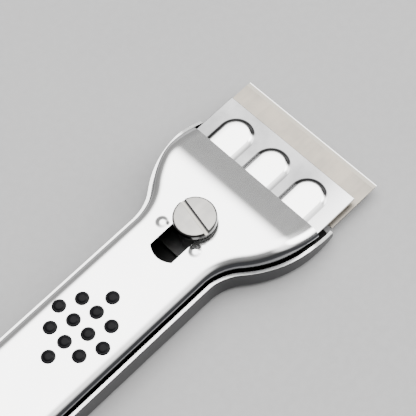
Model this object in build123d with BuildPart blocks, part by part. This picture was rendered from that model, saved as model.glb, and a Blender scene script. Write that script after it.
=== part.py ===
"""Retractable blade scraper: two nested pressed steel shells, a sliding blade carrier and a clamp screw.

The frame's origin is the bottom centre of the bounding box. +X points to the cutting edge, +Z is up and
the tool lies on its tray. Distances along the tool are given back from the cutting edge, so that the
helper along() turns each one into a place on the X axis.
"""
import math
import os

from build123d import *

os.makedirs("parts", exist_ok=True)

# ---- driving sizes of the whole tool ----
overall_length = 145.0
handle_width = 23.6
blade_width = 38.8
cover_top_z = 10.85
sheet = 0.7

# ---- plan outline of the shells ----
shoulder_lead = 3.7
blade_side_gap = 0.6
shoulder_radius = 25.5
neck_radius = 11.6
tray_tip_back = 15.0
tray_tip_inset = 0.35
cover_front_back = 18.3

# ---- tray ----
tray_bend = 1.6
rim_z = 7.25
rim_drop_start_back = 42.0
rim_knee_back = 21.2
rim_knee_z = 5.35
rim_tip_z = 3.3
rim_blend = 8.0

# ---- cover ----
cover_sheet = 0.8
shell_gap = 0.55
cover_roll = 2.2
cover_slope_back = 27.0
cover_front_drop = 3.6
cover_slope_blend = 12.0
skirt_bottom_z = 3.6
slot_width = 6.5
slot_sagitta = 1.2
slot_end_gap = 0.25

# ---- detent dimples beside the slot ----
dimple_lead = 5.0
dimple_offset = 5.0
dimple_radius = 1.6
dimple_rise = 0.5

# ---- grip pad ----
tail_stop_gap = 1.15
grip_rows = (1, 3, 4, 3, 1)
grip_hole_radius = 1.58
stud_gap = 0.06
stud_rise = 0.65
pad_length = 22.5
pad_side_gap = 0.05
stud_edge_gap = 0.03
pad_thickness = 2.7
pad_corner = 2.0

# ---- blade and its carrier ----
blade_depth = 18.9
blade_thickness = 0.3
blade_top_z = 3.05
bevel_depth = 1.1
notch_back = 14.2
notch_inset = 1.8
spine_depth = 4.0
spine_thickness = 1.0
spine_inset = 2.6
carrier_sheet = 0.8
carrier_front_back = 9.0
carrier_inset = 2.0
carrier_corner_back = 19.8
carrier_taper_back = 30.0
tail_side_gap = 1.75
tail_end_gap = 2.2
window_gap = 0.1
slide_gap = 0.1
carrier_travel = 9.3
clip_sheet = 0.4
clip_inset = 5.9
clip_foot_depth = 4.6
clip_joggle = 1.2
clip_reach = 1.6
rivet_radius = 1.2
rivet_head_radius = 2.1
rivet_head_rise = 0.5
set_head_radius = 1.6
carrier_rivet_inset = 3.5
carrier_rivet_gap = 3.6

# ---- guard plate and bed ----
guard_front_back = 6.46
guard_inset = 0.7
guard_end_back = 27.0
guard_tail_inset = 2.9
guard_top_z = 5.12
rib_edge_gap = 3.5
rib_width = 8.4
rib_front_back = 8.9
rib_length = 14.0
rib_taper = 18.0
rib_round = 0.8
weld_gap = 0.02
bed_front_back = 8.0
bed_end_back = 26.0
bed_inset = 1.9
bed_corner = 2.0
bed_rivet_backs = (18.6, 23.4)
bed_rivet_insets = (7.0, 13.0)

# ---- clamp ----
screw_back = 35.6
shank_radius = 1.95
thread_gap = 0.05
thread_pitch = 0.7
thread_depth = 0.3
thread_turns = 6
shank_length = 8.2
head_radius = 4.8
head_thickness = 1.45
head_round = 0.2
head_slot_width = 1.2
head_slot_depth = 0.8
head_slot_angle = 78.9
washer_radius = 4.3
washer_thickness = 0.5
washer_bore_gap = 0.2
backed_off = 0.72
pillar_radius = 4.0
pillar_spigot_radius = 2.9

# ---- pad seat and stays ----
seat_sheet = 0.7
seat_side_gap = 0.3
seat_foot = 5.4
stay_sheet = 0.8
stay_flange = 5.0
seat_rivet_inset = 3.0

# ---- hanging eyelet ----
eyelet_from_end = 9.5
eyelet_bore_radius = 3.0
eyelet_wall = 0.5
eyelet_flange_radius = 5.0
eyelet_flange_thickness = 0.5
spacer_wall = 1.2
eyelet_fit = 0.05
recess_radius = 5.8
recess_depth = 0.6

# ---- places worked out from the sizes above ----
edge_x = overall_length / 2
rear_x = -overall_length / 2
handle_half = handle_width / 2
head_half = blade_width / 2 + blade_side_gap + sheet
head_width = 2 * head_half
shoulder_back = notch_back + carrier_travel - shoulder_lead
turn_radii = neck_radius + shoulder_radius
tip_lead = shoulder_back - tray_tip_back
tip_radius = (tip_lead**2 + tray_tip_inset**2) / (2 * tray_tip_inset)
flare_angle = math.degrees(math.acos(1 - (head_half - handle_half) / turn_radii))
cover_inset = sheet + shell_gap
cover_under_z = cover_top_z - cover_sheet
slope_angle = math.degrees(math.atan2(cover_front_drop, cover_slope_back - cover_front_back))
blade_under_z = blade_top_z - blade_thickness
carrier_under_z = blade_under_z - carrier_sheet
spine_under_z = blade_under_z - (spine_thickness - blade_thickness) / 2
spine_top_z = spine_under_z + spine_thickness
guard_under_z = guard_top_z - sheet
bed_top_z = carrier_under_z - slide_gap
spine_half = blade_width / 2 - spine_inset
notch_half = blade_width / 2 - notch_inset
carrier_half = blade_width / 2 - carrier_inset
guard_half = blade_width / 2 - guard_inset
guard_tail_half = blade_width / 2 - guard_tail_inset
bed_half = blade_width / 2 - bed_inset
clip_half = spine_half - clip_inset
rib_pitch = guard_half - rib_edge_gap - rib_width / 2
pad_half = handle_half - cover_inset - cover_roll - pad_side_gap
seat_half = pad_half - seat_side_gap
tail_half = handle_half - cover_inset - cover_sheet - tail_side_gap
tail_end_back = screw_back + pillar_radius + tail_end_gap
stay_face_back = tail_end_back + carrier_travel + tail_stop_gap
grip_back = stay_face_back + (stay_flange + seat_foot + pad_length) / 2
grip_pitch = (pad_half - stud_edge_gap - grip_hole_radius + stud_gap) / 1.5
screw_x = edge_x - screw_back
washer_under_z = cover_top_z + backed_off
head_under_z = washer_under_z + washer_thickness
head_top_z = head_under_z + head_thickness
pad_under_z = cover_under_z - pad_thickness
eyelet_x = rear_x + eyelet_from_end
above = 20.0


def along(back):
    """Place on the X axis that lies this far back from the cutting edge."""
    return edge_x - back


def shell_outline(inset, front_back):
    """Plan outline of a shell: round tail, straight handle, neck, shoulder and tip arcs, cut square in front."""
    shoulder_x = along(shoulder_back)
    neck_x = shoulder_x - turn_radii * math.sin(math.radians(flare_angle))
    tip_angle = math.degrees(math.asin((along(front_back) - shoulder_x) / tip_radius))
    with BuildSketch() as outline:
        with BuildLine():
            tail = CenterArc((rear_x + handle_half, 0), handle_half, 90, 90)
            Line(tail @ 0, (neck_x, handle_half))
            CenterArc((neck_x, handle_half + neck_radius), neck_radius, -90, flare_angle)
            shoulder_centre = (shoulder_x, head_half - shoulder_radius)
            CenterArc(shoulder_centre, shoulder_radius, 90 + flare_angle, -flare_angle)
            tip = CenterArc((shoulder_x, head_half - tip_radius), tip_radius, 90, -tip_angle)
            Line(tip @ 1, (along(front_back), 0))
            mirror(about=Plane.XZ)
        make_face()
        if inset:
            offset(amount=-inset, kind=Kind.INTERSECTION)
    return outline.sketch


def side_profile(points, radii):
    """Side view drawn in the XZ plane, its inner corners rounded by the radii given."""
    with BuildSketch(Plane.XZ) as profile:
        with BuildLine():
            top = FilletPolyline(*points, radius=radii)
            Polyline(top @ 1, (points[-1][0], -1), (points[0][0], -1), top @ 0)
        make_face()
    return profile.sketch


def tray_form(inset, floor_z, bend):
    """Solid with the tray's outer or inner shape, reaching past the front so that its mouth stays open."""
    with BuildPart() as form:
        with BuildSketch(Plane.XY.offset(floor_z)):
            add(shell_outline(inset, tray_tip_back - inset - sheet))
        extrude(amount=above)
        fillet(form.edges().group_by(Axis.Z)[0].filter_by(lambda e: not on_front(e)), radius=bend)
    return form.part


def on_front(edge):
    """True for an edge that runs straight across the tool, as at an open mouth."""
    return edge.geom_type == GeomType.LINE and abs((edge % 0.5).Y) > 0.99


def cover_form(inset, drop, roll):
    """Solid with the cover's outer or inner shape: flat top, slope down to the front and rolled sides."""
    top_z = cover_top_z - drop
    reach = cover_front_back - drop - sheet
    front_z = top_z - math.tan(math.radians(slope_angle)) * (cover_slope_back - reach)
    points = [
        (rear_x - 1, top_z),
        (along(cover_slope_back), top_z),
        (along(reach), front_z),
    ]
    with BuildPart() as form:
        with BuildSketch():
            add(shell_outline(cover_inset + inset, reach - inset - cover_inset))
        extrude(amount=above)
        extrude(side_profile(points, cover_slope_blend), amount=head_width, both=True, mode=Mode.INTERSECT)
        rolled = form.edges().filter_by(lambda e: e.center().Z > front_z + 0.01 and not on_front(e))
        rolled = rolled.filter_by(lambda e: not e.is_interior and abs((e % 0.5).Z) < 0.9)
        fillet(rolled, radius=roll)
    return form.part


def box_between(low, high):
    """Box given by its lowest and highest corners."""
    size = [b - a for a, b in zip(low, high)]
    middle = tuple((a + b) / 2 for a, b in zip(low, high))
    with BuildPart() as block:
        with Locations(middle):
            Box(*size)
    return block.part


def sunk_rivet(place, low_z, high_z):
    """Rivet set flush in the underside: a countersunk head below and a plain shank above."""
    with BuildPart() as rivet:
        with BuildSketch(Plane.XY.offset(low_z)):
            with Locations(place):
                Circle(rivet_head_radius)
        with BuildSketch(Plane.XY.offset(low_z + sheet)):
            with Locations(place):
                Circle(rivet_radius)
        loft()
        with BuildSketch(Plane.XY.offset(low_z + sheet)):
            with Locations(place):
                Circle(rivet_radius)
        extrude(amount=high_z - low_z - sheet)
    return rivet.part


def cap(radius, rise, place, base_z):
    """Spherical cap with its flat side at base_z."""
    ball = (radius**2 + rise**2) / (2 * rise)
    with BuildPart() as dome:
        with Locations((place[0], place[1], base_z + rise - ball)):
            Sphere(ball)
        split(bisect_by=Plane.XY.offset(base_z), keep=Keep.TOP)
    return dome.part


# ---- places of what repeats ----
bed_rivet_places = [
    (along(back), side * (blade_width / 2 - inset))
    for back, inset in zip(bed_rivet_backs, bed_rivet_insets)
    for side in (-1, 1)
]
grip_places = [
    (along(grip_back) + grip_pitch * (row - 2), grip_pitch * (place - (count - 1) / 2))
    for row, count in enumerate(grip_rows)
    for place in range(count)
]
foot_backs = [grip_back + side * (pad_length + seat_foot) / 2 for side in (-1, 1)]
seat_rivet_places = [(along(back), side * (seat_half - seat_rivet_inset)) for back in foot_backs for side in (-1, 1)]
carrier_rivet_places = [
    (along(blade_depth + carrier_rivet_gap), side * (clip_half - carrier_rivet_inset)) for side in (-1, 1)
]
dimple_places = [(along(screw_back + dimple_lead), side * dimple_offset) for side in (-1, 1)]
rib_places = [rib_pitch * step for step in (-1, 0, 1)]

# ---- bottom tray: pressed channel with a flared head, open at the front ----
with BuildPart() as bottom_tray:
    add(tray_form(0, 0, tray_bend))
    add(tray_form(sheet, sheet, tray_bend - sheet), mode=Mode.SUBTRACT)
    rim_points = [
        (rear_x - 1, rim_z),
        (along(rim_drop_start_back), rim_z),
        (along(rim_knee_back), rim_knee_z),
        (along(tray_tip_back), rim_tip_z),
    ]
    extrude(side_profile(rim_points, rim_blend), amount=head_width, both=True, mode=Mode.INTERSECT)
    with Locations((eyelet_x, 0, sheet + recess_depth / 2)):
        Cylinder(recess_radius + sheet, recess_depth)
    with Locations((eyelet_x, 0, recess_depth / 2)):
        Cylinder(recess_radius, recess_depth, mode=Mode.SUBTRACT)
    with Locations((eyelet_x, 0, sheet)):
        Cylinder(eyelet_bore_radius + eyelet_wall + eyelet_fit, above, mode=Mode.SUBTRACT)
    for place in bed_rivet_places + seat_rivet_places:
        add(sunk_rivet(place, 0, above), mode=Mode.SUBTRACT)
bottom_tray.part.label = "bottom_tray"

# ---- top cover: slotted lid with rolled sides that nests inside the tray ----
with BuildPart() as top_cover:
    add(cover_form(0, 0, cover_roll))
    add(cover_form(cover_sheet, cover_sheet, cover_roll - cover_sheet), mode=Mode.SUBTRACT)
    add(
        box_between((rear_x - 1, -head_width, -1), (edge_x, head_width, skirt_bottom_z)),
        mode=Mode.SUBTRACT,
    )
    add(
        box_between((along(cover_front_back), -head_width, -1), (edge_x, head_width, above)),
        mode=Mode.SUBTRACT,
    )
    add(
        box_between(
            (along(guard_end_back + slide_gap), -head_width, -1),
            (edge_x, head_width, guard_top_z + slide_gap),
        ),
        mode=Mode.SUBTRACT,
    )
    slot_front_x = screw_x + shank_radius + slot_end_gap
    slot_rear_x = screw_x - carrier_travel - shank_radius - slot_end_gap
    with BuildSketch(Plane.XY.offset(cover_under_z - sheet)):
        with BuildLine():
            half_slot = slot_width / 2
            front_arc = ThreePointArc(
                (slot_front_x - slot_sagitta, -half_slot),
                (slot_front_x, 0),
                (slot_front_x - slot_sagitta, half_slot),
            )
            rear_arc = ThreePointArc(
                (slot_rear_x + slot_sagitta, half_slot),
                (slot_rear_x, 0),
                (slot_rear_x + slot_sagitta, -half_slot),
            )
            Line(front_arc @ 1, rear_arc @ 0)
            Line(rear_arc @ 1, front_arc @ 0)
        make_face()
    extrude(amount=above, mode=Mode.SUBTRACT)
    with BuildSketch(Plane.XY.offset(cover_under_z - sheet)):
        with Locations(*grip_places):
            Circle(grip_hole_radius)
    extrude(amount=above, mode=Mode.SUBTRACT)
    for place in dimple_places:
        add(cap(dimple_radius, dimple_rise, place, cover_under_z), mode=Mode.SUBTRACT)
        add(cap(dimple_radius, dimple_rise, place, cover_top_z))
    with Locations((eyelet_x, 0, cover_top_z)):
        Cylinder(eyelet_bore_radius + eyelet_wall + eyelet_fit, above / 2, mode=Mode.SUBTRACT)
top_cover.part.label = "top_cover"

# ---- guard plate: three hollow ribs hold up the cover's front edge above the blade's path ----
cover_front_under_z = cover_top_z - cover_front_drop - cover_sheet / math.cos(math.radians(slope_angle))
rib_rise = cover_front_under_z - weld_gap - guard_top_z


def rib(inset, base_z):
    """One raised rib with a round front and straight tapered sides."""
    radius = rib_width / 2 - inset
    with BuildPart() as form:
        with BuildSketch(Plane.XY.offset(base_z)):
            with BuildLine():
                centre_x = along(rib_front_back + rib_width / 2)
                end_x = along(rib_front_back + rib_length)
                nose = CenterArc((centre_x, 0), radius, -90, 180)
                Polyline(nose @ 1, (end_x + inset, radius), (end_x + inset, -radius), nose @ 0)
            make_face()
        extrude(amount=rib_rise, taper=rib_taper)
        fillet(form.faces().sort_by(Axis.Z)[-1].edges(), radius=rib_round)
    return form.part


with BuildPart() as guard_plate:
    with BuildSketch(Plane.XY.offset(guard_under_z)):
        with BuildLine():
            step_x = along(cover_front_back - slide_gap)
            Polyline(
                (along(guard_front_back), 0),
                (along(guard_front_back), guard_half),
                (step_x, guard_half),
                (step_x, guard_tail_half),
                (along(guard_end_back), guard_tail_half),
                (along(guard_end_back), 0),
            )
            mirror(about=Plane.XZ)
        make_face()
    extrude(amount=sheet)
    for place_y in rib_places:
        add(rib(0, guard_top_z).moved(Location((0, place_y, 0))))
    for place_y in rib_places:
        add(rib(sheet, guard_under_z).moved(Location((0, place_y, 0))), mode=Mode.SUBTRACT)
guard_plate.part.label = "guard_plate"

# ---- blade bed: riveted on the tray floor, it carries the sliding plate and shields the blade below ----
with BuildPart() as blade_bed:
    with BuildSketch(Plane.XY.offset(sheet)):
        with Locations((along((bed_front_back + bed_end_back) / 2), 0)):
            RectangleRounded(bed_end_back - bed_front_back, bed_half * 2, bed_corner)
    extrude(amount=bed_top_z - sheet)
    with Locations(*[(x, y, sheet) for x, y in bed_rivet_places]):
        Cylinder(rivet_radius, above, mode=Mode.SUBTRACT)
blade_bed.part.label = "blade_bed"

with BuildPart() as bed_rivets:
    for place in bed_rivet_places:
        add(sunk_rivet(place, 0, bed_top_z))
bed_rivets.part.label = "bed_rivets"

# ---- grip pad: rubber block whose domed studs stand through the cover's holes ----
with BuildPart() as grip_pad:
    with BuildSketch(Plane.XY.offset(pad_under_z)):
        with Locations((along(grip_back), 0)):
            RectangleRounded(pad_length, pad_half * 2, pad_corner)
    extrude(amount=pad_thickness)
    with BuildSketch(Plane.XY.offset(cover_under_z)):
        with Locations(*grip_places):
            Circle(grip_hole_radius - stud_gap)
    extrude(amount=cover_sheet)
    for place in grip_places:
        add(cap(grip_hole_radius - stud_gap, stud_rise, place, cover_top_z))
grip_pad.part.label = "grip_pad"

# ---- pad seat: hat section between the tray floor and the pad ----
with BuildPart() as pad_seat:
    with BuildSketch(Plane.XZ):
        with BuildLine():
            half_seat = pad_length / 2
            middle_x = along(grip_back)
            Polyline(
                (middle_x, pad_under_z),
                (middle_x + half_seat, pad_under_z),
                (middle_x + half_seat, sheet + seat_sheet),
                (middle_x + half_seat + seat_foot, sheet + seat_sheet),
                (middle_x + half_seat + seat_foot, sheet),
                (middle_x + half_seat - seat_sheet, sheet),
                (middle_x + half_seat - seat_sheet, pad_under_z - seat_sheet),
                (middle_x, pad_under_z - seat_sheet),
            )
            mirror(about=Plane.YZ.offset(middle_x))
        make_face()
    extrude(amount=seat_half, both=True)
    with Locations(*[(x, y, sheet) for x, y in seat_rivet_places]):
        Cylinder(rivet_radius, seat_sheet * 3, mode=Mode.SUBTRACT)
pad_seat.part.label = "pad_seat"


def stay(foot_back, outward):
    """Channel that stands on a foot of the pad seat and is welded under the cover."""
    foot_top_z = sheet + seat_sheet
    foot_x = along(foot_back)
    with BuildPart() as channel:
        with BuildSketch(Plane.XZ):
            with BuildLine():
                web_x = foot_x + outward * stay_flange / 2
                inner_x = web_x - outward * stay_sheet
                lip_x = foot_x - outward * stay_flange / 2
                Polyline(
                    (lip_x, foot_top_z),
                    (web_x, foot_top_z),
                    (web_x, cover_under_z),
                    (lip_x, cover_under_z),
                    (lip_x, cover_under_z - stay_sheet),
                    (inner_x, cover_under_z - stay_sheet),
                    (inner_x, foot_top_z + stay_sheet),
                    (lip_x, foot_top_z + stay_sheet),
                    close=True,
                )
            make_face()
        extrude(amount=seat_half, both=True)
        with Locations(*[(foot_x, side * (seat_half - seat_rivet_inset), foot_top_z) for side in (-1, 1)]):
            Cylinder(rivet_radius, stay_sheet * 3, mode=Mode.SUBTRACT)
    return channel.part


with BuildPart() as front_stay:
    add(stay(foot_backs[0], 1))
front_stay.part.label = "front_stay"

with BuildPart() as rear_stay:
    add(stay(foot_backs[1], -1))
rear_stay.part.label = "rear_stay"

with BuildPart() as seat_rivets:
    stack_z = sheet + seat_sheet + stay_sheet
    for place in seat_rivet_places:
        add(sunk_rivet(place, 0, stack_z))
        add(cap(set_head_radius, rivet_head_rise, place, stack_z))
seat_rivets.part.label = "seat_rivets"

# ---- hanging eyelet: flanged barrel, washer and spacer tube that hold the shells together ----
barrel_radius = eyelet_bore_radius + eyelet_wall
eyelet_low_z = recess_depth - eyelet_flange_thickness
washer_low_z = cover_top_z
eyelet_high_z = washer_low_z + eyelet_flange_thickness
with BuildPart() as hang_eyelet:
    with BuildSketch(Plane.XY.offset(eyelet_low_z)):
        with Locations((eyelet_x, 0)):
            Circle(eyelet_flange_radius)
    extrude(amount=eyelet_flange_thickness)
    with BuildSketch(Plane.XY.offset(eyelet_low_z)):
        with Locations((eyelet_x, 0)):
            Circle(barrel_radius)
    extrude(amount=eyelet_high_z - eyelet_low_z)
    with Locations((eyelet_x, 0, cover_top_z / 2)):
        Cylinder(eyelet_bore_radius, above, mode=Mode.SUBTRACT)
hang_eyelet.part.label = "hang_eyelet"

with BuildPart() as eyelet_washer:
    with BuildSketch(Plane.XY.offset(washer_low_z)):
        with Locations((eyelet_x, 0)):
            Circle(eyelet_flange_radius)
            Circle(barrel_radius, mode=Mode.SUBTRACT)
    extrude(amount=eyelet_flange_thickness)
    outer_rim = eyelet_washer.edges().group_by(Axis.Z)[-1].sort_by(SortBy.RADIUS)[-1]
    fillet(outer_rim, radius=eyelet_flange_thickness / 2)
eyelet_washer.part.label = "eyelet_washer"

with BuildPart() as eyelet_spacer:
    spacer_low_z = sheet + recess_depth
    with BuildSketch(Plane.XY.offset(spacer_low_z)):
        with Locations((eyelet_x, 0)):
            Circle(barrel_radius + eyelet_fit + spacer_wall)
            Circle(barrel_radius + eyelet_fit, mode=Mode.SUBTRACT)
    extrude(amount=cover_under_z - spacer_low_z)
eyelet_spacer.part.label = "eyelet_spacer"

# ---- blade: full width at the edge, notched beside the spine, ground on both faces of the edge ----
with BuildPart() as blade:
    with BuildSketch(Plane.XY.offset(blade_under_z)):
        with BuildLine():
            Polyline(
                (edge_x, 0),
                (edge_x, blade_width / 2),
                (along(notch_back), blade_width / 2),
                (along(notch_back), notch_half),
                (along(blade_depth), notch_half),
                (along(blade_depth), 0),
            )
            mirror(about=Plane.XZ)
        make_face()
    extrude(amount=blade_thickness)
    with BuildSketch(Plane.XZ):
        for side in (-1, 1):
            middle_z = (blade_top_z + blade_under_z) / 2
            face_z = middle_z + side * blade_thickness / 2
            with BuildLine():
                Polyline(
                    (edge_x - bevel_depth, face_z),
                    (edge_x, face_z),
                    (edge_x, middle_z + side * blade_thickness / 20),
                    close=True,
                )
            make_face()
    extrude(amount=blade_width, both=True, mode=Mode.SUBTRACT)
blade.part.label = "blade"

# ---- blade spine: strip folded over the blade's back ----
with BuildPart() as blade_spine:
    with BuildSketch(Plane.YZ.offset(along(blade_depth) - slide_gap)):
        with Locations((0, (spine_under_z + spine_top_z) / 2)):
            Rectangle(spine_half * 2, spine_thickness)
    extrude(amount=spine_depth)
    add(
        box_between((along(blade_depth), -head_width, blade_under_z), (edge_x, head_width, blade_top_z)),
        mode=Mode.SUBTRACT,
    )
    fillet(blade_spine.edges().filter_by(Axis.Y).group_by(Axis.X)[0], radius=spine_thickness / 4)
blade_spine.part.label = "blade_spine"

# ---- carrier plate: window for the spine in front, narrow tail with the clamp pillar behind ----
with BuildPart() as carrier_plate:
    with BuildSketch(Plane.XY.offset(carrier_under_z)):
        with BuildLine():
            Polyline(
                (along(carrier_front_back), 0),
                (along(carrier_front_back), carrier_half),
                (along(carrier_corner_back), carrier_half),
                (along(carrier_taper_back), tail_half),
                (along(tail_end_back), tail_half),
                (along(tail_end_back), 0),
            )
            mirror(about=Plane.XZ)
        make_face()
        window_front_x = along(blade_depth) - slide_gap + spine_depth + window_gap
        window_rear_x = along(blade_depth) - slide_gap - window_gap
        with Locations(((window_front_x + window_rear_x) / 2, 0)):
            Rectangle(
                window_front_x - window_rear_x,
                (spine_half + window_gap) * 2,
                mode=Mode.SUBTRACT,
            )
        with Locations((screw_x, 0)):
            Circle(pillar_spigot_radius, mode=Mode.SUBTRACT)
        with Locations(*carrier_rivet_places):
            Circle(rivet_radius, mode=Mode.SUBTRACT)
    extrude(amount=carrier_sheet)
carrier_plate.part.label = "carrier_plate"

# ---- blade clip: spring leaf stepped over the spine ----
with BuildPart() as blade_clip:
    rivet_x = carrier_rivet_places[0][0]
    clip_top_z = spine_top_z + clip_sheet
    spine_rear_x = along(blade_depth) - slide_gap
    with BuildSketch(Plane.XZ):
        with BuildLine():
            Polyline(
                (rivet_x - clip_foot_depth / 2, blade_under_z),
                (rivet_x + clip_foot_depth / 2, blade_under_z),
                (spine_rear_x - clip_sheet, spine_top_z),
                (spine_rear_x + clip_reach, spine_top_z),
                (spine_rear_x + clip_reach, clip_top_z),
                (spine_rear_x - clip_joggle / 2, clip_top_z),
                (rivet_x + (clip_foot_depth - clip_sheet) / 2, blade_under_z + clip_sheet),
                (rivet_x - clip_foot_depth / 2, blade_under_z + clip_sheet),
                close=True,
            )
        make_face()
    extrude(amount=clip_half, both=True)
    with Locations(*[(x, y, blade_under_z) for x, y in carrier_rivet_places]):
        Cylinder(rivet_radius, clip_sheet * 4, mode=Mode.SUBTRACT)
blade_clip.part.label = "blade_clip"

with BuildPart() as carrier_rivets:
    clip_foot_z = blade_under_z + clip_sheet
    for place in carrier_rivet_places:
        with BuildSketch(Plane.XY.offset(carrier_under_z)):
            with Locations(place):
                Circle(rivet_radius)
        extrude(amount=clip_foot_z - carrier_under_z)
        add(cap(set_head_radius, rivet_head_rise, place, clip_foot_z))
carrier_rivets.part.label = "carrier_rivets"

# ---- threaded pillar: riveted in the carrier's tail, it is drawn up against the cover ----
with BuildPart() as threaded_pillar:
    with BuildSketch(Plane.XY.offset(blade_under_z)):
        with Locations((screw_x, 0)):
            Circle(pillar_radius)
    extrude(amount=cover_under_z - slide_gap - blade_under_z)
    with BuildSketch(Plane.XY.offset(carrier_under_z)):
        with Locations((screw_x, 0)):
            Circle(pillar_spigot_radius)
    extrude(amount=carrier_sheet)
    with Locations((screw_x, 0, cover_under_z / 2)):
        Cylinder(shank_radius + thread_gap, above, mode=Mode.SUBTRACT)
    chamfer(threaded_pillar.edges().filter_by(GeomType.CIRCLE).group_by(Axis.Z)[-1], length=0.3)
threaded_pillar.part.label = "threaded_pillar"

# ---- captive washer under the screw's head ----
with BuildPart() as captive_washer:
    with BuildSketch(Plane.XY.offset(washer_under_z)):
        with Locations((screw_x, 0)):
            Circle(washer_radius)
            Circle(shank_radius + washer_bore_gap, mode=Mode.SUBTRACT)
    extrude(amount=washer_thickness)
captive_washer.part.label = "captive_washer"

# ---- clamp screw: wide slotted head, plain shank and a thread of ring grooves ----
with BuildPart() as clamp_screw:
    tip_z = head_under_z - shank_length
    with BuildSketch(Plane.XZ):
        with BuildLine():
            profile = [(screw_x, head_top_z), (screw_x + head_radius, head_top_z)]
            profile += [(screw_x + head_radius, head_under_z), (screw_x + shank_radius, head_under_z)]
            for turn in range(thread_turns, 0, -1):
                root_z = tip_z + turn * thread_pitch
                profile.append((screw_x + shank_radius, root_z + thread_pitch / 2))
                profile.append((screw_x + shank_radius - thread_depth, root_z))
            profile.append((screw_x + shank_radius, tip_z + thread_pitch / 2))
            profile += [(screw_x + shank_radius - thread_depth, tip_z), (screw_x, tip_z)]
            Polyline(*profile, close=True)
        make_face()
    revolve(axis=Axis((screw_x, 0, 0), (0, 0, 1)))
    fillet(clamp_screw.edges().filter_by(GeomType.CIRCLE).group_by(Axis.Z)[-1], radius=head_round)
    with BuildSketch(Plane.XY.offset(head_top_z - head_slot_depth)):
        with Locations(Location((screw_x, 0, 0), (0, 0, head_slot_angle))):
            Rectangle(head_radius * 3, head_slot_width)
    extrude(amount=head_slot_depth * 2, mode=Mode.SUBTRACT)
clamp_screw.part.label = "clamp_screw"

pieces = (
    bottom_tray, top_cover, guard_plate, blade_bed, bed_rivets, grip_pad, pad_seat, front_stay,
    rear_stay, seat_rivets, hang_eyelet, eyelet_washer, eyelet_spacer, blade, blade_spine,
    carrier_plate, blade_clip, carrier_rivets, threaded_pillar, captive_washer, clamp_screw,
)
for piece in pieces:
    export_step(piece.part, f"parts/{piece.part.label}.step")
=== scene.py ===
"""Retractable blade scraper: pressed steel handle, ribbed guard, thin blade, slotted clamp screw.

Shapes are worked out in millimetres, in the frame of the CAD model: the edge of the blade points
along +X and the studs along +Z. make_object() scales them to metres.
"""
import math
import bmesh
import bpy
import numpy as np
from mathutils import Matrix, Vector


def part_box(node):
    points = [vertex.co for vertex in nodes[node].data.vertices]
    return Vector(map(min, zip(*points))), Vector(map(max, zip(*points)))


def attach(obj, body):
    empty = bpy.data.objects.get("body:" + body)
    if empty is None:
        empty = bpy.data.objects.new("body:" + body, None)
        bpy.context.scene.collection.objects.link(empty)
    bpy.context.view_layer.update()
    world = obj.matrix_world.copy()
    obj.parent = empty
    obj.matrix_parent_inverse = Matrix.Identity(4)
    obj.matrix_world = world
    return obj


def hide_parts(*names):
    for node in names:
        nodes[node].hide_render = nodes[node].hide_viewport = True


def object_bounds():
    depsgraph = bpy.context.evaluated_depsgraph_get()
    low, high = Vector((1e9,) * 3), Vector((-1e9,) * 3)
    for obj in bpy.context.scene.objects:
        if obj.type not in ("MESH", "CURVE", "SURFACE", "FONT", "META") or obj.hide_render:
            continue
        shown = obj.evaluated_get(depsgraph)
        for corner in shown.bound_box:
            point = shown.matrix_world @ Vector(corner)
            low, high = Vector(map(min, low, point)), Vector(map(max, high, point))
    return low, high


MM = 0.001

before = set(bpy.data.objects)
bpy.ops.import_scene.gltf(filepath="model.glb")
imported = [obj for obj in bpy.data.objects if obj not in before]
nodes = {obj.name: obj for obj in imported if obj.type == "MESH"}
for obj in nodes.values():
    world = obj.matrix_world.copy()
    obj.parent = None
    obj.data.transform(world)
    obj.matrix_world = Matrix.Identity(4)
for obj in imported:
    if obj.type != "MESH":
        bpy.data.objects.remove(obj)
cad_box = [list(corner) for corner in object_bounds()]


def node_box(name):
    """Lowest and highest corners of a CAD node, in millimetres."""
    low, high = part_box(name)
    return np.array(low) / MM, np.array(high) / MM


# ---------------------------------------------------------------- sizes
blade_high = node_box("blade")[1]
guard_low, guard_high = node_box("guard_plate")
cover_low, cover_high = node_box("top_cover")
tray_low, tray_high = node_box("bottom_tray")
screw_low, screw_high = node_box("clamp_screw")
pad_low, pad_high = node_box("grip_pad")

# Plan outline of the shells. Places along X are counted from the cutting edge or from the rear end.
EDGE_X = blade_high[0]
REAR_X = tray_low[0]
HANDLE_HALF = 11.8
HEAD_HALF = tray_high[1]
NECK_RADIUS = 11.6
SHOULDER_RADIUS = 25.5
SHOULDER_X = EDGE_X - 19.8
TIP_RADIUS = 33.1
TURN = math.acos(1 - (HEAD_HALF - HANDLE_HALF) / (NECK_RADIUS + SHOULDER_RADIUS))
NECK_X = SHOULDER_X - (NECK_RADIUS + SHOULDER_RADIUS) * math.sin(TURN)
TAIL_X = REAR_X + HANDLE_HALF
TAIL_STEPS, SIDE_STEPS, BEND_STEPS, TIP_STEPS = 36, 60, 56, 8

# Top cover: ROLL_WIDTH is how far its rolled side reaches in, COVER_ROLL how far it reaches down.
COVER_TOP = 10.85
COVER_FRONT_X = cover_high[0]
COVER_INSET = 1.25
COVER_ROLL = 2.2
ROLL_WIDTH = 3.1
COVER_SHEET = 0.8
SLOPE_X = EDGE_X - 27.0
SLOPE_DROP = 3.6
SLOPE = math.atan2(SLOPE_DROP, COVER_FRONT_X - SLOPE_X)
SLOPE_BLEND = 14.0
SKIRT_Z = cover_low[2]
SKIRT_FRONT_Z = 5.22
SKIRT_STEP_X = EDGE_X - 27.1
SKIRT_STEP_LENGTH = 0.5
FLAT_STEPS, ROLL_STEPS, SKIRT_STEPS = 64, 13, 5

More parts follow.
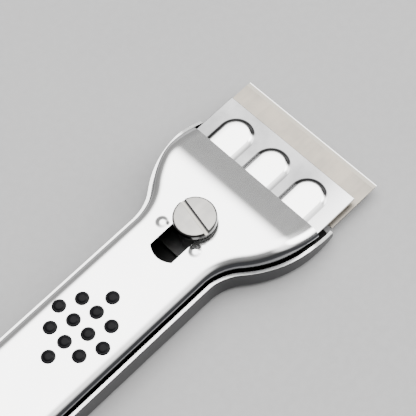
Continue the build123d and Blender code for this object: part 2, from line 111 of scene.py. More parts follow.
# Holes and dimples in the cover. HOLE_REACH is how far a cut runs above and below the cover's top.
SCREW_X = EDGE_X - 35.6
DIMPLE_X = SCREW_X - 5.0
DIMPLE_Y = 5.0
DIMPLE_RADIUS = 2.0
DIMPLE_RISE = 0.5
DIMPLE_FADE = (0.12, 0.9)
CLEAR_OF_DIMPLES_Y = 20
SLOT_HALF = 3.25
SLOT_FRONT_X = EDGE_X - 33.4
SLOT_REAR_X = EDGE_X - 47.1
SLOT_SAGITTA = 1.2
STUD_X = (pad_low[0] + pad_high[0]) / 2
STUD_PITCH = 4.5
STUD_ROWS = (1, 3, 4, 3, 1)
STUD_HOLE = 1.58
EYELET_X = REAR_X + 9.5
EYELET_HOLE = 3.55
HOLE_STEPS = 48
HOLE_REACH = 3

# Guard plate. A rib rises in shares: foot and wall between two distances in from its outline.
RIB_RADIUS = 4.2
RIB_PITCH = 11.0
RIB_NOSE_X = EDGE_X - 8.9 - RIB_RADIUS
RIB_FOOT_SHARE, RIB_FOOT = 0.22, (-1.2, 2.4)
RIB_WALL_SHARE, RIB_WALL = 0.55, (-0.35, 1.1)
RIB_CROWN_SHARE = 0.23
RIB_UNDERSIDE = 0.96
GUARD_TOP = 5.12
GUARD_SHEET = 0.7
GUARD_EDGE = 0.12
GUARD_TUCK = 2.2
GUARD_TUCK_LENGTH = 0.6
GUARD_STEPS = (130, 260)

# Clamp screw
HEAD_RADIUS = 4.8
HEAD_DEPTH = 1.45
HEAD_ROUND = 0.55
DRIVE_HALF = 0.6
DRIVE_DEPTH = 0.8
DRIVE_ANGLE = math.radians(78.9)
DRIVE_REACH = 6
DRIVE_CUT_OVER = 2
SHANK_RADIUS = 1.95
SHANK_TIP = 0.4
SHANK_TIP_SHARE = 0.8
SHANK_PLAIN = 1.1
THREAD_END = 1.2
THREAD_PITCH = 0.7
THREAD_DEPTH = 0.3

# Grip pad
STUD_RADIUS = 1.52
STUD_RISE = 0.65
STUD_DOME = 1.12
STUD_DOME_BASE = 0.27
STUD_ROUND = 0.3
STUD_SHOULDER = (0.05, 0.2)
STUD_FOOT = 1.2
PAD_CORNER = 1.2
PAD_EDGE_DROP = 0.4

# Ground and honed strips of the blade
GROUND_WIDTH = 1.1
HONED_WIDTH = 0.2
STRIP_FADE = 0.04
PAST_EDGE = 1


# ---------------------------------------------------------------- meshes
def smooth(value, low, high):
    """Eased step: 0 below low, 1 above high, t * t * (3 - 2 t) between."""
    t = np.clip((value - low) / (high - low), 0, 1)
    return t * t * (3 - 2 * t)


def grid_faces(rows, columns, start=0):
    """Four-sided faces of a grid of points, facing row direction x column direction."""
    at = start + np.arange(rows * columns).reshape(rows, columns)
    return np.stack([at[:-1, :-1], at[1:, :-1], at[1:, 1:], at[:-1, 1:]], axis=-1).reshape(-1, 4)


def closed_plate(x, y, top, bottom):
    """Points and faces of a plate: the grid (x, y) at two heights, joined round the border."""
    rows, columns = x.shape
    levels = [np.stack([x, y, z], axis=-1).reshape(-1, 3) for z in (top, bottom)]
    count = rows * columns
    at = np.arange(count).reshape(rows, columns)
    border = np.concatenate([at[:-1, 0], at[-1, :-1], at[:0:-1, -1], at[0, :0:-1]])
    after = np.roll(border, -1)
    sides = np.stack([border, border + count, after + count, after], axis=-1)
    upper = grid_faces(rows, columns)
    lower = grid_faces(rows, columns, count)[:, ::-1]
    return np.concatenate(levels), np.concatenate([upper, lower, sides])


def turned(radii, heights, centre, steps):
    """Surface of revolution: the profile (radius, height) carried round an upright axis."""
    angle = np.linspace(0, 2 * np.pi, steps + 1)[None, :]
    radii = np.asarray(radii, float)[:, None]
    heights = np.asarray(heights, float)[:, None] + 0 * angle
    x = centre[0] + radii * np.cos(angle)
    y = centre[1] + radii * np.sin(angle)
    points = np.stack([x, y, heights], axis=-1).reshape(-1, 3)
    return points, grid_faces(radii.shape[0], steps + 1)


def joined(parts):
    """Several (points, faces) pairs as one pair."""
    starts = np.cumsum([0] + [len(points) for points, faces in parts])
    faces = [faces + start for (points, faces), start in zip(parts, starts)]
    return np.concatenate([points for points, faces in parts]), np.concatenate(faces)


MERGE_DISTANCE = 0.002
DEGENERATE_LENGTH = 0.001


def shade_smooth(mesh, sharp):
    """Smooth shading but for edges sharper than the angle, in degrees."""
    mesh.polygons.foreach_set("use_smooth", np.ones(len(mesh.polygons), bool))
    mesh.set_sharp_from_angle(angle=math.radians(sharp))


def make_object(name, shape, sharp=35.0):
    """Object from (points, faces) in millimetres, its seams merged."""
    points, faces = shape
    mesh = bpy.data.meshes.new(name)
    mesh.vertices.add(len(points))
    mesh.vertices.foreach_set("co", (points * MM).astype(np.float32).ravel())
    mesh.loops.add(faces.size)
    mesh.loops.foreach_set("vertex_index", faces.astype(np.int32).ravel())
    mesh.polygons.add(len(faces))
    mesh.polygons.foreach_set("loop_start", np.arange(len(faces), dtype=np.int32) * 4)
    mesh.update(calc_edges=True)
    shell = bmesh.new()
    shell.from_mesh(mesh)
    bmesh.ops.remove_doubles(shell, verts=shell.verts, dist=MERGE_DISTANCE * MM)
    bmesh.ops.dissolve_degenerate(shell, edges=shell.edges, dist=DEGENERATE_LENGTH * MM)
    shell.to_mesh(mesh)
    shell.free()
    shade_smooth(mesh, sharp)
    piece = bpy.data.objects.new(name, mesh)
    bpy.context.scene.collection.objects.link(piece)
    return piece


def put_piece(piece, material, body, replaced):
    """Gives a piece its finish and its body, and hides the CAD nodes it replaces."""
    piece.data.materials.clear()
    piece.data.materials.append(material)
    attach(piece, body)
    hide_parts(*replaced)


def apply_modifiers(piece, sharp):
    """Makes the piece's modifiers part of its mesh."""
    graph = bpy.context.evaluated_depsgraph_get()
    mesh = bpy.data.meshes.new_from_object(piece.evaluated_get(graph))
    piece.modifiers.clear()
    piece.data = mesh
    shade_smooth(mesh, sharp)


def cut_away(piece, shapes, sharp):
    """Takes closed shapes away from the piece, with its earlier modifiers applied first."""
    cutter = make_object("cutter", joined(shapes))
    cut = piece.modifiers.new("cut", "BOOLEAN")
    cut.object = cutter
    cut.operation = "DIFFERENCE"
    cut.solver = "EXACT"
    apply_modifiers(piece, sharp)
    bpy.data.objects.remove(cutter)


def rounded_places(low, high, count, radius, steps=4):
    """Places from low to high, a quarter circle at each end, and how far each of them leans."""
    lean = np.sin(np.linspace(0, np.pi / 2, steps + 1)[1:])
    flat = np.linspace(low + radius, high - radius, count)
    places = np.concatenate([flat[0] - radius * lean[::-1], flat, flat[-1] + radius * lean])
    leaned = np.concatenate([lean[::-1], np.zeros(count), lean])
    return places, leaned


def edge_drop(lean_x, lean_y, radius):
    """Fall of a rounded edge: radius * (1 - sqrt(1 - lean_x^2 - lean_y^2))."""
    return radius * (1 - np.sqrt(np.clip(1 - lean_x**2 - lean_y**2, 0, 1)))


# ---------------------------------------------------------------- finishes
class Finish:
    """A material built up node by node; each call returns the new node's first output."""

    def __init__(self, name):
        self.material = bpy.data.materials.new(name)
        self.material.use_nodes = True
        self.tree = self.material.node_tree
        self.shader = self.tree.nodes["Principled BSDF"]
        self.place = self.add("ShaderNodeTexCoord").node.outputs["Object"]

    def add(self, kind, settings=None, **sockets):
        """New node. A socket is given by its name, with _ for a space, or as _N by its number."""
        node = self.tree.nodes.new(kind)
        for key, value in (settings or {}).items():
            setattr(node, key, value)
        for key, value in sockets.items():
            socket = int(key[1:]) if key[1:].isdigit() else key.replace("_", " ")
            self.feed(node.inputs[socket], value)
        return node.outputs[0]

    def feed(self, socket, value):
        """Links another node's output to the socket, or sets the socket's own value."""
        if isinstance(value, bpy.types.NodeSocket):
            self.tree.links.new(value, socket)
        else:
            socket.default_value = value

    def noise(self, scale, detail=3.0, roughness=0.55, stretch=(1, 1, 1), turn=0.0):
        """Soft noise with features 1 / scale metres across, stretched and turned about Z."""
        spot = self.add("ShaderNodeMapping", Vector=self.place, Scale=stretch,
                        Rotation=(0, 0, turn))
        return self.add("ShaderNodeTexNoise", Vector=spot, Scale=scale, Detail=detail,
                        Roughness=roughness)

    def ramp(self, value, low, high, out_low=0.0, out_high=1.0):
        """Eased step from out_low where the value is low to out_high where it is high."""
        return self.add("ShaderNodeMapRange", {"interpolation_type": "SMOOTHSTEP"},
                        _0=value, _1=low, _2=high, _3=out_low, _4=out_high)

    def sum(self, first, second, kind="ADD"):
        """Sum of two numbers, or what another kind of math node makes of them."""
        return self.add("ShaderNodeMath", {"operation": kind}, _0=first, _1=second)

    def tint(self, factor, first, second):
        """Mix of two colours."""
        node = self.tree.nodes.new("ShaderNodeMix")
        node.data_type = "RGBA"
        for socket, colour in ((6, first), (7, second)):
            self.feed(node.inputs[socket], (*colour, 1) if isinstance(colour, tuple) else colour)
        self.feed(node.inputs[0], factor)
        return node.outputs[2]

    def level(self, factor, first, second):
        """Plain mix of two numbers."""
        return self.add("ShaderNodeMix", _0=factor, _2=first, _3=second)

    def coordinate(self, axis):
        """One coordinate of the piece, in metres: 0, 1 or 2 for X, Y or Z."""
        return self.add("ShaderNodeSeparateXYZ", _0=self.place).node.outputs[axis]

    def facing(self, axis):
        """How far the surface faces along an axis: 1 along it, 0 across it, -1 against it."""
        normal = self.add("ShaderNodeNewGeometry").node.outputs["Normal"]
        return self.add("ShaderNodeSeparateXYZ", _0=normal).node.outputs[axis]

    def band(self, axis, low, high, soft):
        """1 where a coordinate is between low and high, faded over soft outside; all in mm."""
        value = self.coordinate(axis)
        rise = self.ramp(value, (low - soft) * MM, low * MM)
        fall = self.ramp(value, high * MM, (high + soft) * MM, 1.0, 0.0)
        return self.sum(rise, fall, "MULTIPLY")

    def bump(self, height, distance):
        """Surface relief, distance in metres."""
        return self.add("ShaderNodeBump", Height=height, Distance=distance, Strength=1.0)


GRAIN_STRETCH = (30, 900, 900)
HAIR_A_STRETCH, HAIR_A_TURN = (60, 2600, 900), 0.5
HAIR_B_STRETCH, HAIR_B_TURN = (2200, 70, 900), 0.25
STEEL_RELIEF = 0.3e-6


def steel(name, bright, dull, rough=(0.13, 0.19), scratches=0.05, grain_share=0.05, zones=()):
    """Worked steel: cloudy tint and roughness, drawn grain, and a few fine scratches at two angles.

    Each zone is (mask function, colour, roughness) and lies over what comes before it.
    """
    f = Finish(name)
    cloud = f.noise(110, 4)
    lines = f.noise(1.0, 3, 0.6, GRAIN_STRETCH)
    hair_a = f.ramp(f.noise(1.0, 2, 0.5, HAIR_A_STRETCH, HAIR_A_TURN), 0.66, 0.72)
    hair_b = f.ramp(f.noise(1.0, 2, 0.5, HAIR_B_STRETCH, HAIR_B_TURN), 0.67, 0.73)
    hairs = f.sum(hair_a, hair_b, "MAXIMUM")
    level = f.ramp(cloud, 0.3, 0.7, *rough)
    level = f.sum(level, f.sum(f.ramp(lines, 0.3, 0.7), grain_share, "MULTIPLY"))
    level = f.sum(level, f.sum(hairs, scratches, "MULTIPLY"))
    colour = f.tint(f.ramp(cloud, 0.25, 0.75), bright, dull)
    for mask, zone_colour, zone_rough in zones:
        share = mask(f)
        colour = f.tint(share, colour, zone_colour)
        level = f.level(share, level, zone_rough)
    f.feed(f.shader.inputs["Roughness"], level)
    f.feed(f.shader.inputs["Base Color"], colour)
    f.shader.inputs["Metallic"].default_value = 1.0
    height = f.sum(lines, f.sum(hairs, -0.5, "MULTIPLY"))
    f.feed(f.shader.inputs["Normal"], f.bump(height, STEEL_RELIEF))
    return f.material


def upright(f):
    """Walls, rolled sides and the walls of holes, where the zones put painted shade and dark
    reflection.
    """
    return f.ramp(f.facing(2), 0.5, 0.985, 1.0, 0.0)


def inner_floor_painted_shade(f):
    """Upper side of the tray's floor, painted dark as the shade inside the handle."""
    return f.sum(f.ramp(f.facing(2), 0.2, 0.6), f.band(2, -1.0, 2.6, 0.2), "MULTIPLY")


def cut_rim(f):
    """Upper cut edge of the tray's wall."""
    return f.sum(f.ramp(f.facing(2), 0.5, 0.8), f.band(2, 3.0, 9.0, 0.3), "MULTIPLY")


def rib_top_painted_highlight(f):
    """Upper part of the guard's ribs, painted light as a highlight."""
    return f.ramp(f.coordinate(2), (GUARD_TOP + 0.1) * MM, (GUARD_TOP + 0.95) * MM)


def rib_foot_painted_shade(f):
    """Steep foot of the ribs, painted dark as shade but for the side that faces -Y."""
    steep = f.ramp(f.facing(2), 0.78, 0.93, 1.0, 0.0)
    return f.sum(steep, f.ramp(f.facing(1), -0.55, -0.4), "MULTIPLY")


def guard_end_painted_highlight(f):
    """End of the guard on the -Y side, painted light as a highlight."""
    return f.ramp(f.coordinate(1), -7.0 * MM, -20.0 * MM)


def ground_edge(f):
    """Ground strip along the cutting edge."""
    return f.band(0, EDGE_X - GROUND_WIDTH, EDGE_X + PAST_EDGE, STRIP_FADE)


def honed_edge(f):
    """Last hair's breadth of the cutting edge."""
    return f.band(0, EDGE_X - HONED_WIDTH, EDGE_X + PAST_EDGE, STRIP_FADE)


def head_side_painted_shade(f):
    """Side of the screw's head and its slot, and the screw below 0.6 mm under its top: painted
    shade.
    """
    steep = f.ramp(f.facing(2), 0.68, 0.92, 1.0, 0.0)
    return f.sum(steep, f.band(2, 0, screw_high[2] - 0.6, 0.1), "MAXIMUM")


def slot_floor(f):
    """Bottom of the screw's slot, clear of the painted shade along its walls; the shade is left
    wider on one wall.
    """
    way = (-math.sin(DRIVE_ANGLE), math.cos(DRIVE_ANGLE), 0)
    dot = f.add("ShaderNodeVectorMath", {"operation": "DOT_PRODUCT"}, _0=f.place, _1=way)
    off = f.sum(dot.node.outputs["Value"], -SCREW_X * way[0] * MM)
    near = f.ramp(off, -0.3 * MM, -0.1 * MM)
    far = f.ramp(off, 0.3 * MM, 0.52 * MM, 1.0, 0.0)
    depth = f.band(2, screw_high[2] - 0.95, screw_high[2] - 0.7, 0.03)
    return f.sum(f.sum(near, far, "MULTIPLY"), depth, "MULTIPLY")


def head_edge(f):
    """Rounded rim of the screw's head and of its slot."""
    return f.ramp(f.facing(2), 0.86, 0.985, 1.0, 0.0)


# Cover: the zone paints its rolled sides, skirt and hole walls dark as shade and dark reflection.
cover_steel = steel("cover_steel", (0.86, 0.86, 0.86), (0.83, 0.83, 0.835), rough=(0.145, 0.165),
                    grain_share=0.015, scratches=0.012,
                    zones=[(upright, (0.05, 0.052, 0.057), 0.17)])
# Guard: dark grey flats as painted shade and dark reflection; painted highlights on the -Y end and
# the rib tops; painted shade on the rib feet.
guard_steel = steel("guard_steel", (0.28, 0.28, 0.284), (0.16, 0.16, 0.163), rough=(0.13, 0.17),
                    zones=[(guard_end_painted_highlight, (0.6, 0.6, 0.605), 0.15),
                           (rib_top_painted_highlight, (0.88, 0.88, 0.88), 0.15),
                           (rib_foot_painted_shade, (0.1, 0.1, 0.102), 0.12)])
# Tray: outer walls painted dark as shade and dark reflection, inner floor painted dark as shade.
tray_steel = steel("tray_steel", (0.72, 0.72, 0.73), (0.62, 0.62, 0.63),
                   zones=[(upright, (0.035, 0.035, 0.038), 0.14),
                          (inner_floor_painted_shade, (0.03, 0.03, 0.03), 0.4),
                          (cut_rim, (0.6, 0.6, 0.6), 0.22)])
# Parts inside the handle: near-black base colour, painted as the shade in the closed handle.
inner_steel = steel("inner_steel", (0.10, 0.10, 0.10), (0.06, 0.06, 0.06), rough=(0.3, 0.45))
spring_steel = steel("spring_steel", (0.5, 0.49, 0.47), (0.38, 0.37, 0.35), rough=(0.25, 0.4))
spine_steel = steel("spine_steel", (0.55, 0.55, 0.55), (0.45, 0.45, 0.45), rough=(0.3, 0.4))
rivet_steel = steel("rivet_steel", (0.6, 0.6, 0.6), (0.5, 0.5, 0.5), rough=(0.2, 0.35))
eyelet_nickel = steel("eyelet_nickel", (0.8, 0.79, 0.76), (0.7, 0.69, 0.66), rough=(0.12, 0.25))
blade_steel = steel("blade_steel", (0.245, 0.22, 0.185), (0.20, 0.185, 0.162), rough=(0.38, 0.46),
                    zones=[(ground_edge, (0.24, 0.225, 0.195), 0.34),
                           (honed_edge, (0.62, 0.62, 0.62), 0.25)])
# Screw: the zones paint its side, the slot's walls and the shank dark as shade.
screw_nickel = steel("screw_nickel", (0.31, 0.30, 0.285), (0.25, 0.245, 0.235), rough=(0.34, 0.44),
                     zones=[(head_edge, (0.16, 0.16, 0.155), 0.1),
                            (head_side_painted_shade, (0.03, 0.03, 0.03), 0.2),
                            (slot_floor, (0.27, 0.26, 0.235), 0.36)])


def rubber(name):
    """Black rubber: nearly black, matt, with a fine pebbled skin."""
    f = Finish(name)
    skin = f.noise(9000, 2)
    colour = f.tint(f.noise(400, 3), (0.0015, 0.0015, 0.002), (0.004, 0.004, 0.005))
    f.feed(f.shader.inputs["Base Color"], colour)
    f.feed(f.shader.inputs["Roughness"], f.ramp(skin, 0.3, 0.7, 0.2, 0.3))
    f.shader.inputs["Specular IOR Level"].default_value = 0.06
    f.feed(f.shader.inputs["Normal"], f.bump(skin, 4e-6))
    return f.material


grip_rubber = rubber("grip_rubber")

node_finishes = {
    "bottom_tray": tray_steel,
    "blade_bed": inner_steel,
    "bed_rivets": rivet_steel,
    "pad_seat": inner_steel,
    "front_stay": inner_steel,
    "rear_stay": inner_steel,
    "seat_rivets": rivet_steel,
    "hang_eyelet": eyelet_nickel,
    "eyelet_washer": eyelet_nickel,
    "eyelet_spacer": inner_steel,
    "carrier_plate": inner_steel,
    "blade": blade_steel,
    "blade_spine": spine_steel,
    "blade_clip": spring_steel,
    "carrier_rivets": rivet_steel,
    "threaded_pillar": inner_steel,
    "captive_washer": rivet_steel,
}
for node_name, finish in node_finishes.items():
    nodes[node_name].data.materials.clear()
    nodes[node_name].data.materials.append(finish)


# ---------------------------------------------------------------- top cover
def shell_edge():
    """+Y half of the shells' plan outline, from the tail's end to the cover's front.

    Gives points and outward normals: the tail's arc, a straight side, the neck's arc about a centre
    outside, then the arcs of the shoulder and the tip about centres inside.
    """
    quarter = np.linspace(0, 1, TAIL_STEPS)
    tail = np.pi - quarter * np.pi / 2
    points = [np.stack([TAIL_X + HANDLE_HALF * np.cos(tail), HANDLE_HALF * np.sin(tail)], axis=-1)]
    normals = [np.stack([np.cos(tail), np.sin(tail)], axis=-1)]
    side = np.linspace(TAIL_X, NECK_X, SIDE_STEPS)[1:-1]
    points.append(np.stack([side, HANDLE_HALF + 0 * side], axis=-1))
    normals.append(np.stack([0 * side, 1 + 0 * side], axis=-1))
    turn = np.linspace(0, TURN, BEND_STEPS)
    neck_centre = np.array([NECK_X, HANDLE_HALF + NECK_RADIUS])
    lean = np.stack([np.sin(turn), -np.cos(turn)], axis=-1)
    points.append(neck_centre + NECK_RADIUS * lean)
    normals.append(-lean)
    turn = np.linspace(-TURN, 0, BEND_STEPS)[1:]
    lean = np.stack([np.sin(turn), np.cos(turn)], axis=-1)
    points.append(np.array([SHOULDER_X, HEAD_HALF - SHOULDER_RADIUS]) + SHOULDER_RADIUS * lean)
    normals.append(lean)
    tip_turn = math.asin((COVER_FRONT_X - SHOULDER_X) / TIP_RADIUS)
    turn = np.linspace(0, tip_turn, TIP_STEPS)[1:]
    lean = np.stack([np.sin(turn), np.cos(turn)], axis=-1)
    points.append(np.array([SHOULDER_X, HEAD_HALF - TIP_RADIUS]) + TIP_RADIUS * lean)
    lean[-1] = (0, 1)
    normals.append(lean)
    return np.concatenate(points), np.concatenate(normals)


def cover_height(x, y):
    """Height of the cover's skin: flat, an arc of SLOPE_BLEND, a straight fall, and two dimples.

    The dimples stand DIMPLE_RISE proud and fade between two shares of DIMPLE_RADIUS.
    """
    reach = SLOPE_BLEND * math.tan(SLOPE / 2)
    into = np.clip(x - (SLOPE_X - reach), 0, SLOPE_BLEND * math.sin(SLOPE))
    fall = SLOPE_BLEND - np.sqrt(SLOPE_BLEND**2 - into**2)
    past = np.clip(x - (SLOPE_X + reach * math.cos(SLOPE)), 0, None)
    away = np.hypot(x - DIMPLE_X, np.abs(y) - DIMPLE_Y) / DIMPLE_RADIUS
    dimple = DIMPLE_RISE * (1 - smooth(away, *DIMPLE_FADE))
    return COVER_TOP - fall - past * math.tan(SLOPE) + dimple


def cover_half(side):
    """Half of the cover's skin; side is 1 for +Y and -1 for -Y.

    Its rows run from the middle line out to the roll, round it and down the skirt.
    """
    points, normals = shell_edge()
    inner = points - (COVER_INSET + ROLL_WIDTH) * normals
    across = np.linspace(0, 1, FLAT_STEPS)[None, :]
    flat_x = inner[:, :1] + 0 * across
    flat_y = inner[:, 1:] * across
    bend = np.linspace(0, np.pi / 2, ROLL_STEPS)[None, 1:]
    out = COVER_INSET + ROLL_WIDTH * (1 - np.sin(bend))
    roll_x = points[:, :1] - out * normals[:, :1]
    roll_y = points[:, 1:] - out * normals[:, 1:]
    stepped = smooth(points[:, :1], SKIRT_STEP_X - SKIRT_STEP_LENGTH, SKIRT_STEP_X)
    lowest = SKIRT_Z + (SKIRT_FRONT_Z - SKIRT_Z) * stepped
    undimpled = cover_height(roll_x, CLEAR_OF_DIMPLES_Y + 0 * roll_x)
    roll_z = np.maximum(undimpled - COVER_ROLL * (1 - np.cos(bend)), lowest)
    down = np.linspace(0, 1, SKIRT_STEPS)[None, 1:]
    skirt_x = roll_x[:, -1:] + 0 * down
    skirt_y = roll_y[:, -1:] + 0 * down
    skirt_z = roll_z[:, -1:] * (1 - down) + lowest * down
    x = np.concatenate([flat_x, roll_x, skirt_x], axis=1)
    y = np.concatenate([flat_y, roll_y, skirt_y], axis=1)
    z = np.concatenate([cover_height(flat_x, flat_y), roll_z, skirt_z], axis=1)
    grid = np.stack([x, side * y, z], axis=-1).reshape(-1, 3)
    faces = grid_faces(*x.shape)
    return grid, faces if side > 0 else faces[:, ::-1]


def prism(outline, low, high):
    """Upright prism on a closed plan outline, its ends closed to the outline's middle."""
    ring = np.concatenate([outline, outline[:1]])
    middle = np.broadcast_to(outline.mean(axis=0), ring.shape)
    plans = [middle, ring, ring, middle]
    heights = [low, low, high, high]
    points = [np.column_stack([plan, np.full(len(ring), z)]) for plan, z in zip(plans, heights)]
    return np.concatenate(points), grid_faces(4, len(ring))[:, ::-1]


def circle(x, y, radius):
    """Plan circle, counter-clockwise."""
    angle = np.linspace(0, 2 * np.pi, HOLE_STEPS + 1)[:-1]
    return np.stack([x + radius * np.cos(angle), y + radius * np.sin(angle)], axis=-1)


def slot_outline():
    """Plan of the screw's slot: straight sides, both ends bowed out by SLOT_SAGITTA."""
    y = np.linspace(-SLOT_HALF, SLOT_HALF, 17)
    bow = SLOT_SAGITTA * (1 - (y / SLOT_HALF) ** 2)
    front = np.stack([SLOT_FRONT_X - SLOT_SAGITTA + bow, y], axis=-1)
    rear = np.stack([SLOT_REAR_X + SLOT_SAGITTA - bow, y], axis=-1)[::-1]
    return np.concatenate([front, rear])


def stud_places():
    """Middles of the studs: rows across the handle, at one pitch both ways."""
    return [
        (STUD_X + STUD_PITCH * (row - 2), STUD_PITCH * (place - (count - 1) / 2))
        for row, count in enumerate(STUD_ROWS) for place in range(count)
    ]


def make_cover():
    """Cover: skin thickened inwards, with the studs', the screw's and the eyelet's holes cut."""
    low, high = COVER_TOP - HOLE_REACH, COVER_TOP + HOLE_REACH
    skin = make_object("formed_cover", joined([cover_half(1), cover_half(-1)]), 60)
    wall = skin.modifiers.new("wall", "SOLIDIFY")
    wall.thickness = COVER_SHEET * MM
    wall.offset = -1
    holes = [prism(circle(x, y, STUD_HOLE), low, high) for x, y in stud_places()]
    holes.append(prism(slot_outline(), low, high))
    holes.append(prism(circle(EYELET_X, 0, EYELET_HOLE), low, high))
    cut_away(skin, holes, 40)
    put_piece(skin, cover_steel, "handle", ["top_cover"])


make_cover()


# ---------------------------------------------------------------- guard plate
def rib_height(x, y):
    """Rise of the three ribs: a soft foot, an eased wall and a low crown, in from a D outline."""
    rise = guard_high[2] - GUARD_TOP
    ahead = np.clip(x - RIB_NOSE_X, 0, None)
    inside = np.stack([
        RIB_RADIUS - np.hypot(ahead, y - RIB_PITCH * step) for step in (-1, 0, 1)
    ]).max(axis=0)
    foot = RIB_FOOT_SHARE * smooth(inside, *RIB_FOOT)
    wall = RIB_WALL_SHARE * smooth(inside, *RIB_WALL)
    crown = RIB_CROWN_SHARE * (1 - (1 - np.clip(inside / RIB_RADIUS, 0, 1)) ** 2)
    return rise * (foot + wall + crown)


def make_guard():
    """Guard plate with hollow ribs; GUARD_TUCK narrower each side under the cover."""
    x, lean_x = rounded_places(guard_low[0], guard_high[0], GUARD_STEPS[0], GUARD_EDGE)
    y, lean_y = rounded_places(-1, 1, GUARD_STEPS[1], GUARD_EDGE / guard_high[1])
    lean_x, lean_y = np.meshgrid(lean_x, lean_y, indexing="ij")
    x, y = np.meshgrid(x, y, indexing="ij")
    tucked = 1 - smooth(x, COVER_FRONT_X - GUARD_TUCK_LENGTH, COVER_FRONT_X)
    y = y * (guard_high[1] - GUARD_TUCK * tucked)
    drop = edge_drop(lean_x, lean_y, GUARD_EDGE)
    top = GUARD_TOP + rib_height(x, y) - drop
    bottom = GUARD_TOP - GUARD_SHEET + rib_height(x, y) * RIB_UNDERSIDE + drop
    plate = make_object("formed_guard", closed_plate(x, y, top, bottom), 60)
    put_piece(plate, guard_steel, "handle", ["guard_plate"])


make_guard()


# ---------------------------------------------------------------- clamp screw
def screw_head():
    """Turned disc: flat face, top rim rounded by HEAD_ROUND, straight side, flat underside."""
    lean = np.linspace(0, np.pi / 2, 7)
    rim = HEAD_RADIUS - HEAD_ROUND * (1 - np.cos(lean))
    radii = np.concatenate([[0, HEAD_RADIUS], rim, [0]])
    heights = np.concatenate([[-HEAD_DEPTH, -HEAD_DEPTH], HEAD_ROUND * (np.sin(lean) - 1), [0]])
    points, faces = turned(radii, screw_high[2] + heights, (SCREW_X, 0), 96)
    return points, faces[:, ::-1]


def drive_slot():
    """Plan of the straight drive slot: a rectangle along DRIVE_ANGLE, longer than the head."""
    corners = np.array([(DRIVE_REACH, -DRIVE_HALF), (DRIVE_REACH, DRIVE_HALF),
                        (-DRIVE_REACH, DRIVE_HALF), (-DRIVE_REACH, -DRIVE_HALF)])
    along = np.array([math.cos(DRIVE_ANGLE), math.sin(DRIVE_ANGLE)])
    across = np.array([-along[1], along[0]])
    return np.array([SCREW_X, 0]) + corners[:, :1] * along + corners[:, 1:] * across


def threaded_shank():
    """Tip, thread and plain neck, up to the head's underside.

    Along the thread the radius falls by THREAD_DEPTH in a triangle wave of height less turn.
    """
    neck = screw_high[2] - HEAD_DEPTH
    height = np.linspace(screw_low[2] + SHANK_TIP, neck - THREAD_END, 140)[:, None]
    angle = np.linspace(0, 2 * np.pi, 49)[None, :]
    level = 0 * angle
    phase = (height / THREAD_PITCH - angle / (2 * np.pi)) % 1
    radius = SHANK_RADIUS - THREAD_DEPTH * np.abs(2 * phase - 1)
    tip_radius = SHANK_TIP_SHARE * SHANK_RADIUS + level
    plain_radius = SHANK_RADIUS + level
    radius = np.concatenate([level, tip_radius, radius, plain_radius, plain_radius])
    tip = height[:1] - SHANK_TIP + level
    height = np.concatenate([tip, tip, height + level, neck - SHANK_PLAIN + level, neck + level])
    x = SCREW_X + radius * np.cos(angle)
    y = radius * np.sin(angle)
    return np.stack([x, y, height], axis=-1).reshape(-1, 3), grid_faces(*radius.shape)[:, ::-1]


def make_screw():
    """Head with its drive slot cut, and the shank below it."""
    head = make_object("screw_head", screw_head(), 60)
    low, high = screw_high[2] - DRIVE_DEPTH, screw_high[2] + DRIVE_CUT_OVER
    cut_away(head, [prism(drive_slot(), low, high)], 50)
    put_piece(head, screw_nickel, "screw", ["clamp_screw"])
    shank = make_object("screw_shank", threaded_shank(), 40)
    put_piece(shank, screw_nickel, "screw", ["clamp_screw"])


make_screw()


# ---------------------------------------------------------------- grip pad
def stud(x, y):
    """Stud: upright side, rounded shoulder ring and a dome that stands STUD_RISE proud.

    Its foot lies within the slab and is left open.
    """
    shoulder = np.linspace(0, np.pi / 2, 5)
    dome = np.linspace(0, np.pi / 2, 10)
    shoulder_radii = STUD_RADIUS - STUD_ROUND * (1 - np.cos(shoulder))
    shoulder_rises = STUD_SHOULDER[0] + STUD_SHOULDER[1] * np.sin(shoulder)
    dome_rises = STUD_DOME_BASE + (STUD_RISE - STUD_DOME_BASE) * np.sin(dome)
    radii = np.concatenate([[STUD_RADIUS], shoulder_radii, STUD_DOME * np.cos(dome)])
    rises = np.concatenate([[-STUD_FOOT], shoulder_rises, dome_rises])
    points, faces = turned(radii, COVER_TOP + rises, (x, y), 36)
    return points, faces[:, ::-1]


def make_pad():
    """Rubber slab under the cover, with the studs that come up through its holes."""
    x, lean_x = rounded_places(pad_low[0], pad_high[0], 8, PAD_CORNER, 5)
    y, lean_y = rounded_places(pad_low[1], pad_high[1], 8, PAD_CORNER, 5)
    lean_x, lean_y = np.meshgrid(lean_x, lean_y, indexing="ij")
    x, y = np.meshgrid(x, y, indexing="ij")
    drop = edge_drop(lean_x, lean_y, PAD_EDGE_DROP)
    slab = closed_plate(x, y, COVER_TOP - COVER_SHEET - drop, pad_low[2] + drop)
    studs = [stud(*place) for place in stud_places()]
    pad = make_object("studded_pad", joined([slab] + studs), 50)
    put_piece(pad, grip_rubber, "handle", ["grip_pad"])


make_pad()


# ---------------------------------------------------------------- floor, light and camera
CAMERA_PLACE = Vector((-39.6, -110.0, 278.9)) * MM
CAMERA_AIM = Vector((40.95, 0.37, 10.85)) * MM
CAMERA_ROLL = math.radians(-9.47)
CAMERA_LENS = 122.64

FLOOR_HALF = 1500.0
FLOOR_GAP = 0.05

# Lobes of light on the sky: direction, inner and outer angle in degrees, strength.
SKY_LOBES = (
    ((0.22, 0.14, 0.96), 22, 50, 7.0),
    ((0.78, -0.42, 0.46), 8, 24, 11.0),
    ((0.30, -0.78, 0.54), 8, 30, 3.0),
)
SKY_BASE = 0.45
SKY_COLOUR = (1.0, 0.995, 0.985, 1)


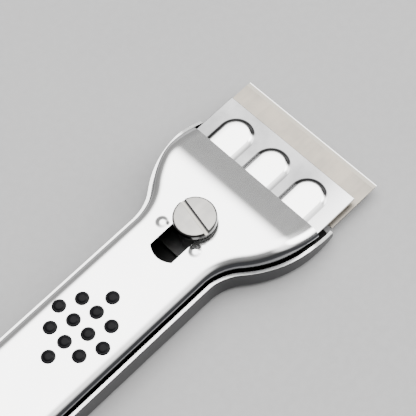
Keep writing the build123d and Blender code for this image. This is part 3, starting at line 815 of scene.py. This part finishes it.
def make_camera():
    """A long lens at the place and aim above, rolled about its own axis."""
    data = bpy.data.cameras.new("camera")
    data.sensor_width = 36.0
    data.lens = CAMERA_LENS
    data.clip_start = 0.01
    data.clip_end = 20.0
    camera = bpy.data.objects.new("camera", data)
    bpy.context.scene.collection.objects.link(camera)
    turn = (CAMERA_AIM - CAMERA_PLACE).to_track_quat("-Z", "Y").to_matrix().to_4x4()
    roll = Matrix.Rotation(CAMERA_ROLL, 4, "Z")
    camera.matrix_world = Matrix.Translation(CAMERA_PLACE) @ turn @ roll
    bpy.context.scene.camera = camera


def make_floor():
    """Pale matt table, FLOOR_GAP under the part."""
    places = np.linspace(-FLOOR_HALF, FLOOR_HALF, 3)
    x, y = np.meshgrid(places, places, indexing="ij")
    level = cad_box[0][2] / MM - FLOOR_GAP
    points = np.stack([x, y, level + 0 * x], axis=-1).reshape(-1, 3)
    floor = make_object("floor", (points, grid_faces(3, 3)))
    f = Finish("floor_paper")
    colour = f.tint(f.noise(30, 3), (0.255, 0.255, 0.257), (0.24, 0.24, 0.243))
    f.feed(f.shader.inputs["Base Color"], colour)
    f.feed(f.shader.inputs["Roughness"], f.ramp(f.noise(600, 2), 0.3, 0.7, 0.6, 0.75))
    floor.data.materials.append(f.material)


def make_sky():
    """Studio light as soft round lobes on the sky, each full within its inner angle."""
    world = bpy.data.worlds.new("studio")
    bpy.context.scene.world = world
    world.use_nodes = True
    tree = world.node_tree
    way = tree.nodes.new("ShaderNodeTexCoord").outputs["Generated"]

    def node(kind, operation, *values):
        """New node of the sky, with an operation or None and its first inputs' values."""
        made = tree.nodes.new(kind)
        if operation:
            made.operation = operation
        for socket, value in zip(made.inputs, values):
            if isinstance(value, bpy.types.NodeSocket):
                tree.links.new(value, socket)
            else:
                socket.default_value = value
        return made

    total = SKY_BASE
    for direction, inner, outer, strength in SKY_LOBES:
        unit = Vector(direction).normalized()
        along = node("ShaderNodeVectorMath", "DOT_PRODUCT", way, unit).outputs["Value"]
        low, high = math.cos(math.radians(outer)), math.cos(math.radians(inner))
        fade = node("ShaderNodeMapRange", None, along, low, high, 0.0, strength)
        fade.interpolation_type = "SMOOTHSTEP"
        total = node("ShaderNodeMath", "ADD", total, fade.outputs[0]).outputs[0]
    tree.links.new(total, tree.nodes["Background"].inputs["Strength"])
    tree.nodes["Background"].inputs["Color"].default_value = SKY_COLOUR


make_camera()
make_floor()
make_sky()
